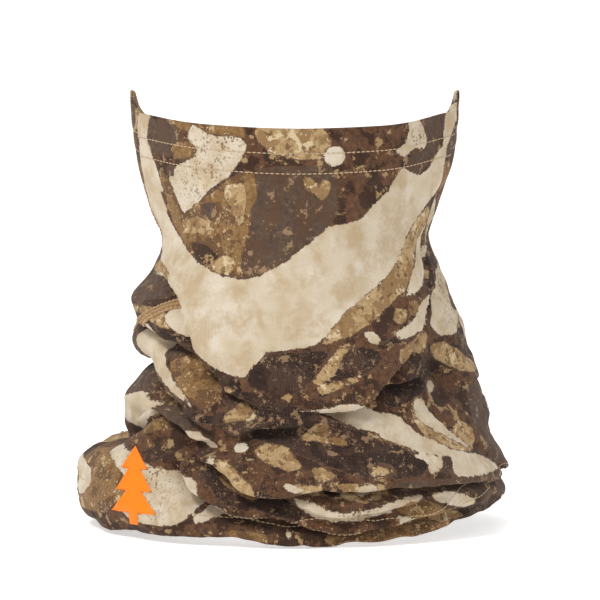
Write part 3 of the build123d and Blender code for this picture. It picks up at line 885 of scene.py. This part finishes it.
CLOTH_THICKNESS = 1.1
HEM_GAP = 0.1
HEM_THICKNESS = 0.9
HEM_TURN = 22
RIM_INSET = 0.6
HEM_ROWS = 12
EDGE_TO_ROW = 11.9
ROW_SPACING = 9.5
THREAD = 0.28


def finished(obj, material, nodes, thickness=None):
    """A piece with its material, its place in the model and, for a sheet, its thickness inwards."""
    if thickness:
        thick = obj.modifiers.new("thickness", "SOLIDIFY")
        thick.thickness = thickness * MM
        thick.offset = -1
    obj.data.materials.append(material)
    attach(obj, "root")
    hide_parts(*nodes)
    return obj


def cloth_piece(name, points, thickness, node, first_row=0, last_row=FINE_ROWS - 1):
    """A closed band of the printed cloth, with its bake map, its print and its thickness."""
    rows, columns = points.shape[:2]
    faces = grid_faces(rows, columns)
    obj = mesh_object(name, points, faces)
    mesh = obj.data
    uv = mesh.uv_layers.new(name="OFBake")
    corner_rows, corner_columns = faces // columns, faces % columns
    corner_columns = np.where((corner_columns == 0) & (faces[:, :1] % columns > 0), columns,
                              corner_columns)
    u = corner_columns / columns
    low = 1 - last_row / (FINE_ROWS - 1)
    high = 1 - first_row / (FINE_ROWS - 1)
    v = high + (low - high) * corner_rows / (rows - 1)
    uv.data.foreach_set("uv", np.stack([u, v], -1).astype(np.float32).ravel())
    fields = dict(zip(COLOURS, pattern_depths(points)))
    # Besides the print, each piece carries the shade that is painted into its folds.
    fields.update(specks=speckled_share(points), crease=crease_share(points))
    for field_name, values in fields.items():
        field = mesh.attributes.new(field_name, "FLOAT", "POINT")
        field.data.foreach_set("value", values.astype(np.float32).ravel())
    return finished(obj, KNIT, [node], thickness)


def hem_band(from_top):
    """The turned-back cloth inside a rim, as a closed grid."""
    start, end = row_from_edge(RIM_INSET, from_top), row_from_edge(HEM_TURN, from_top)
    rows = start + (end - start) * np.linspace(0, 1, HEM_ROWS)[:, None]
    if not from_top:
        rows = rows[::-1]
    places = np.arange(FINE_COLUMNS) + 0 * rows
    inside = CLOTH_THICKNESS + HEM_GAP
    return at(cloth_points, rows, places) - inside * at(cloth_out, rows, places)


tube = cloth_piece("gaiter_cloth", cloth_points, CLOTH_THICKNESS, "tube_panel")
top_hem = cloth_piece("top_hem_cloth", hem_band(True), HEM_THICKNESS, "top_hem_turnback",
                      last_row=HEM_ROWS)
bottom_hem = cloth_piece("bottom_hem_cloth", hem_band(False), HEM_THICKNESS, "bottom_hem_turnback",
                         first_row=FINE_ROWS - 1 - HEM_ROWS)

# ---- The threads -------------------------------------------------------------------------------


def cloth_frame(rows, columns):
    """Points on the cloth, with the outward direction at each."""
    out = at(cloth_out, rows, columns)
    return at(cloth_points, rows, columns), out / np.linalg.norm(out, axis=-1, keepdims=True)


def even_path(rows, columns, spacing):
    """A path over the cloth, set out again at even distances: rows, columns and distances."""
    points = at(cloth_points, rows, columns)
    lengths = np.concatenate([[0], np.cumsum(np.linalg.norm(np.diff(points, axis=0), axis=1))])
    count = max(int(lengths[-1] / spacing), 4)
    places = np.linspace(0, lengths[-1], count + 1)
    return np.interp(places, lengths, rows), np.interp(places, lengths, columns), places


def tubes(name, paths, radii, sides, material, node):
    """Many thin tubes as one piece. A path is its points and the directions away from the cloth."""
    points, faces = [], []
    for (line, out), radius in zip(paths, radii):
        way = np.gradient(line, axis=0)
        way /= np.linalg.norm(way, axis=1, keepdims=True)
        side = np.cross(way, out)
        side /= np.linalg.norm(side, axis=1, keepdims=True)
        up = np.cross(side, way)
        angles = np.arange(sides) / sides * 2 * math.pi
        ring = np.cos(angles)[:, None] * side[:, None] + np.sin(angles)[:, None] * up[:, None]
        start = sum(len(p) for p in points)
        points.append((line[:, None] + ring * np.asarray(radius)[:, None, None]).reshape(-1, 3))
        faces += (grid_faces(len(line), sides) + start).tolist()
        faces.append([start + i for i in range(sides)])
        faces.append([start + (len(line) - 1) * sides + i for i in reversed(range(sides))])
    return finished(mesh_object(name, np.concatenate(points), faces), material, [node])


STITCH = 2.5
STITCH_GAP = 0.7
STITCH_POINTS = 5
# Each hem row is read this many times per fine column before its stitches are set out.
ROW_SAMPLES = 6
LOOPER_CROSSINGS = 420
LOOPER_THREAD = 0.25
ROW_THREAD = thread_material("sewing_thread", "D9C3A0", "A98B62", 1.5)
SEAM_THREAD = thread_material("seam_thread", "C6A270", "8A6640", 1.2)


def around(rows_per_column, samples):
    """Fractional columns all the way round, and the row at each."""
    columns = np.linspace(0, FINE_COLUMNS, samples + 1)
    ring = np.append(rows_per_column, rows_per_column[0])
    return columns, np.interp(columns, np.arange(FINE_COLUMNS + 1), ring)


def stitch_row(name, distance, from_top, node, hidden=None):
    """Single needle stitches around a hem, at this distance from its rim."""
    columns, rows = around(row_from_edge(distance, from_top), ROW_SAMPLES * FINE_COLUMNS)
    rows, columns = even_path(rows, columns, STITCH)[:2]
    gap = STITCH_GAP / STITCH / 2
    shares = np.linspace(gap, 1 - gap, STITCH_POINTS)
    # A stitch swells in its middle and dips into the cloth at both ends.
    swell = np.sin(np.linspace(0.12, 0.88, STITCH_POINTS) * math.pi)
    paths, radii = [], []
    for start in range(len(rows) - 1):
        bearing_here = columns[start] / FINE_COLUMNS * 360 - 180
        if hidden and hidden[0] < bearing_here < hidden[1]:
            continue
        line, out = cloth_frame(rows[start] + (rows[start + 1] - rows[start]) * shares,
                                columns[start] + (columns[start + 1] - columns[start]) * shares)
        paths.append((line + out * (0.6 * THREAD * swell[:, None] - 0.05), out))
        radii.append(THREAD * (0.45 + 0.55 * swell))
    return tubes(name, paths, radii, 6, ROW_THREAD, node)


def looper_row(name, from_top, node):
    """The looper thread inside a hem, which crosses from one needle row to the other and back."""
    samples = ROW_SAMPLES * LOOPER_CROSSINGS
    columns, near = around(row_from_edge(EDGE_TO_ROW, from_top), samples)
    columns, far = around(row_from_edge(EDGE_TO_ROW + ROW_SPACING, from_top), samples)
    phase = columns / FINE_COLUMNS * LOOPER_CROSSINGS * math.pi
    share = 0.5 + 0.5 * np.clip(1.25 * np.sin(phase), -1, 1)
    line, out = cloth_frame((near + (far - near) * share)[:-1], columns[:-1])
    depth = CLOTH_THICKNESS + HEM_GAP + HEM_THICKNESS + LOOPER_THREAD
    return tubes(name, [(line - out * depth, -out)], [np.full(len(line), LOOPER_THREAD)], 5, ROW_THREAD,
                 node)


# Where the hem is turned under at the left front, its rows can't be seen from outside.
TURNED_UNDER = (-75, -27)

for rim, from_top, hidden in (("top", True, None), ("bottom", False, TURNED_UNDER)):
    for row, distance in (("outer", EDGE_TO_ROW), ("inner", EDGE_TO_ROW + ROW_SPACING)):
        node = f"{rim}_hem_needle_thread_{row}"
        stitch_row(f"{rim}_stitches_{row}", distance, from_top, node, hidden)
for rim, from_top in (("top", True), ("bottom", False)):
    looper_row(f"{rim}_looper", from_top, f"{rim}_hem_looper_thread")

# ---- The side seam -----------------------------------------------------------------------------
# The seam's line down the left side, as (bearing, height) before folding, from hem to hem.

SEAM = [(-100, 50), (-97, 34), (-90, 18), (-82, 4), (-70, -2), (-56, -8), (-48, -13), (-44, -19),
        (-44, -24), (-49, -27), (-57, -29), (-68, -31), (-80, -34), (-94, -40), (-104, -52),
        (-107, -80), (-105, -100)]
SEAM_HALF_WIDTH = 2.1
SEAM_STITCH = 2.4
SEAM_SAMPLES = 200
# How far the seam's threads lie off the cloth, and how much higher its three chains of loops stand.
SEAM_LIFT, CHAIN_LIFT = 0.2, 0.15
SWAY_THREAD, CHAIN_THIN, CHAIN_SWELL = 0.32, 0.35, 0.6
# The distance between a path's points.
SWAY_SPACING, CHAIN_SPACING = 0.35, 0.3


def seam_path(shift, spacing):
    """The seam's line over the cloth, moved sideways by this much."""
    along = np.linspace(0, len(SEAM) - 1, SEAM_SAMPLES)
    bearings, levels = [curve(along, list(enumerate(values))) for values in zip(*SEAM)]
    rows = np.array([row_at_height(b, h) for b, h in zip(bearings, levels)])
    rows, columns, distances = even_path(rows, column_of(bearings), spacing)
    line, out = cloth_frame(rows, columns)
    way = np.gradient(line, axis=0)
    side = np.cross(way, out)
    side /= np.linalg.norm(side, axis=1, keepdims=True)
    return line + side * np.asarray(shift(distances))[:, None], out, distances


def seam_stitches(name, lift, facing, strands, node):
    """Flatlock stitching: threads that sway from edge to edge, under three chains of loops."""
    paths, radii = [], []
    for strand in range(strands):
        turn = strand / strands * 2 * math.pi
        line, out = seam_path(
            lambda d: SEAM_HALF_WIDTH * np.sin(d / SEAM_STITCH * math.pi + turn), SWAY_SPACING)[:2]
        paths.append((line + facing * out * lift, facing * out))
        radii.append(np.full(len(line), SWAY_THREAD))
    for edge in (-1, 0, 1):
        line, out, distances = seam_path(lambda d: edge * SEAM_HALF_WIDTH + 0 * d, CHAIN_SPACING)
        paths.append((line + facing * out * (lift + CHAIN_LIFT), facing * out))
        loop = np.abs(np.sin((distances / SEAM_STITCH + edge / 4) * math.pi))
        radii.append(CHAIN_THIN + CHAIN_SWELL * loop)
    return tubes(name, paths, radii, 6, SEAM_THREAD, node)


seam_stitches("side_seam_outside", SEAM_LIFT, 1, 4, "side_seam_cover_thread")
seam_stitches("side_seam_inside", CLOTH_THICKNESS + SEAM_LIFT, -1, 2,
                             "side_seam_looper_thread")

# ---- The mark and the label --------------------------------------------------------------------
# A plain fir tree, three tiers over a short trunk, pressed on the left front of the shoulder.

MARK_PLACE = (-46, -113)
MARK_HEIGHT, MARK_WIDTH = 36, 32
TRUNK_HEIGHT, TRUNK_WIDTH = 6, 6
TIERS, TIER_TAPER, TIER_REACH = 3, 0.2, 1.5
TIER_RISE = (MARK_HEIGHT - TRUNK_HEIGHT) / TIERS
LEDGE = 0.01
PEAK_HALF_WIDTH = 0.05
FILM = 0.25
FITTING_STEPS = 25
# In the fitting, no cell of the grid counts as smaller than this, and no step is longer than this.
LEAST_SCALE, LONGEST_STEP = 0.3, 2


def tree_half_width(v):
    """Half the tree's width at a height above its foot."""
    if v < TRUNK_HEIGHT:
        return TRUNK_WIDTH / 2
    width = 0.0
    for tier in range(TIERS):
        foot = TRUNK_HEIGHT + TIER_RISE * tier
        peak = min(foot + TIER_REACH * TIER_RISE, MARK_HEIGHT)
        if foot <= v <= peak:
            share = (peak - v) / (peak - foot)
            width = max(width, MARK_WIDTH / 2 * (1 - TIER_TAPER * tier) * share)
    return width


def tree_rows():
    """The tree's rows from foot to peak: a height above the foot and a half-width."""
    heights = list(np.linspace(0, TRUNK_HEIGHT - LEDGE, 5))
    for tier in range(TIERS):
        foot = TRUNK_HEIGHT + TIER_RISE * tier
        heights += list(np.linspace(foot, foot + TIER_RISE - LEDGE, 9))
    return [(v, max(tree_half_width(v), PEAK_HALF_WIDTH)) for v in heights + [MARK_HEIGHT]]


def cloth_patch(rows, place, lift, facing, across):
    """A patch laid on the cloth, upright and even as seen from the front or the back.

    Its rows are heights above its foot, and half-widths, which narrow as they would on a plain drum.
    Each point is moved over the cloth, step by step, until it is as far aside and as high as it should be.
    """
    shares = np.linspace(-1, 1, across)[None, :]
    facing_front = math.cos(math.radians(place[0]))
    half = np.array([row[1] for row in rows])[:, None] * shares
    level = np.array([row[0] for row in rows])[:, None] - (rows[0][0] + rows[-1][0]) / 2 + 0 * shares
    aside = half * abs(facing_front)
    row = row_at_height(*place) + 0 * half
    column = float(column_of(place[0])) + 0 * half
    centre = at(cloth_points, row[:1, :1], column[:1, :1])[0, 0]
    east = np.array([math.copysign(1, facing_front), 0, 0])
    for _ in range(FITTING_STEPS):
        here = at(cloth_points, row, column) - centre
        by_row = at(cloth_points, row + 1, column) - at(cloth_points, row - 1, column)
        by_column = at(cloth_points, row, column + 1) - at(cloth_points, row, column - 1)
        a, b = by_column @ east / 2, by_row @ east / 2
        c, d = by_column[..., 2] / 2, by_row[..., 2] / 2
        gap_east, gap_up = aside - here @ east, level - here[..., 2]
        scale = a * d - b * c
        scale = np.where(np.abs(scale) < LEAST_SCALE, np.copysign(LEAST_SCALE, scale), scale)
        steps = np.array([d * gap_east - b * gap_up, a * gap_up - c * gap_east]) / scale
        steps = np.clip(steps, -LONGEST_STEP, LONGEST_STEP)
        column = column + steps[0]
        row = np.clip(row + steps[1], 1, FINE_ROWS - 3)
    points, out = cloth_frame(row, column)
    return points + facing * out * lift


def patch_object(name, points, thickness, material, node):
    """A patch with its own thickness, riding on the cloth."""
    faces = grid_faces(*points.shape[:2], closed=False)[:, ::-1]
    return finished(mesh_object(name, points, faces), material, [node], thickness)


mark_points = cloth_patch(tree_rows(), MARK_PLACE, FILM + 0.1, 1, 17)
mark = patch_object("fir_mark", mark_points, FILM + 0.3, film_material(),
                    "transfer_mark")

# The care label hangs inside, at the middle of the back. It carries no text.
LABEL_PLACE = (180, -88)
LABEL_WIDTH, LABEL_HEIGHT = 24, 16
LABEL_TAPE = 0.4
label_rows = [(v, LABEL_WIDTH / 2) for v in np.linspace(0, LABEL_HEIGHT, 9)]
label_points = cloth_patch(label_rows, LABEL_PLACE, CLOTH_THICKNESS + LABEL_TAPE + 0.2, -1, 13)
label = patch_object("care_label_tape", label_points, LABEL_TAPE, label_material(),
                     "care_label")

# ---- Camera, floor and light -------------------------------------------------------------------

# From here on, lengths are metres.
CAMERA_AIM = Vector((0, 0, -0.0275))
CAMERA_ASIDE = 0.0015
CAMERA_DISTANCE = 1.35
CAMERA_TILT = math.radians(3)
VIEW_WIDTH = 0.3
SENSOR_WIDTH_MM = 36
LIGHTS_AIM = Vector((0, 0, -0.03))
# The sky lights the object softly, and looks white behind it.
SKY_LIGHT, SKY_SEEN = 0.5, 1.0

scene = bpy.context.scene
camera = bpy.data.objects.new("camera", bpy.data.cameras.new("camera"))
scene.collection.objects.link(camera)
back, up = CAMERA_DISTANCE * math.cos(CAMERA_TILT), CAMERA_DISTANCE * math.sin(CAMERA_TILT)
camera.location = CAMERA_AIM + Vector((CAMERA_ASIDE, -back, up))
camera.rotation_euler = (math.radians(90) - CAMERA_TILT, 0, 0)
camera.data.lens = SENSOR_WIDTH_MM * CAMERA_DISTANCE / VIEW_WIDTH
scene.camera = camera
scene.view_settings.view_transform = "Standard"

scene.world = bpy.data.worlds.new("studio")
scene.world.use_nodes = True
sky = scene.world.node_tree
background = sky.nodes["Background"]
background.inputs["Color"].default_value = (1, 1, 1, 1)
path = sky.nodes.new("ShaderNodeLightPath")
strength = sky.nodes.new("ShaderNodeMath")
strength.operation = "MULTIPLY_ADD"
strength.inputs[1].default_value = SKY_SEEN - SKY_LIGHT
strength.inputs[2].default_value = SKY_LIGHT
sky.links.new(path.outputs["Is Camera Ray"], strength.inputs[0])
sky.links.new(strength.outputs[0], background.inputs["Strength"])


def area_light(name, place, size, power):
    """A square light that shines on the middle of the object."""
    light = bpy.data.lights.new(name, "AREA")
    light.size = size
    light.energy = power
    obj = bpy.data.objects.new(name, light)
    obj.location = place
    obj.rotation_euler = (LIGHTS_AIM - Vector(place)).to_track_quat("-Z", "Y").to_euler()
    scene.collection.objects.link(obj)


area_light("key", (-0.7, -0.9, 1.3), 0.4, 17.5)
area_light("fill", (1.2, -1.0, 0.4), 1.0, 3)
area_light("top", (0, 0.2, 1.6), 0.8, 8)

# The floor bends up into a wall behind the object, as one sheet. It lies just under the lowest point.
FLOOR_GAP = 0.0005
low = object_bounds()[0][2] - FLOOR_GAP
BACKDROP_HALF_WIDTH = 6
FLOOR_FRONT = -4
BEND_PLACE, BEND_RADIUS = 2.2, 1.4
WALL_TOP = 4
profile = [(FLOOR_FRONT, low)]
for angle in np.linspace(0, math.pi / 2, 17):
    profile.append((BEND_PLACE + BEND_RADIUS * math.sin(angle),
                    low + BEND_RADIUS * (1 - math.cos(angle))))
profile.append((BEND_PLACE + BEND_RADIUS, WALL_TOP))
backdrop_points = [(x, y, z) for y, z in profile for x in (-BACKDROP_HALF_WIDTH, BACKDROP_HALF_WIDTH)]
backdrop_faces = [(k, k + 1, k + 3, k + 2) for k in range(0, 2 * len(profile) - 2, 2)]
floor = mesh_object("floor", np.array(backdrop_points) / MM, backdrop_faces)
white = Nodes("floor_white")
white.look({"Base Color": (0.92, 0.92, 0.92, 1), "Roughness": 0.9, "Emission Color": (1, 1, 1, 1),
            "Emission Strength": 0.5})
floor.data.materials.append(white.material)
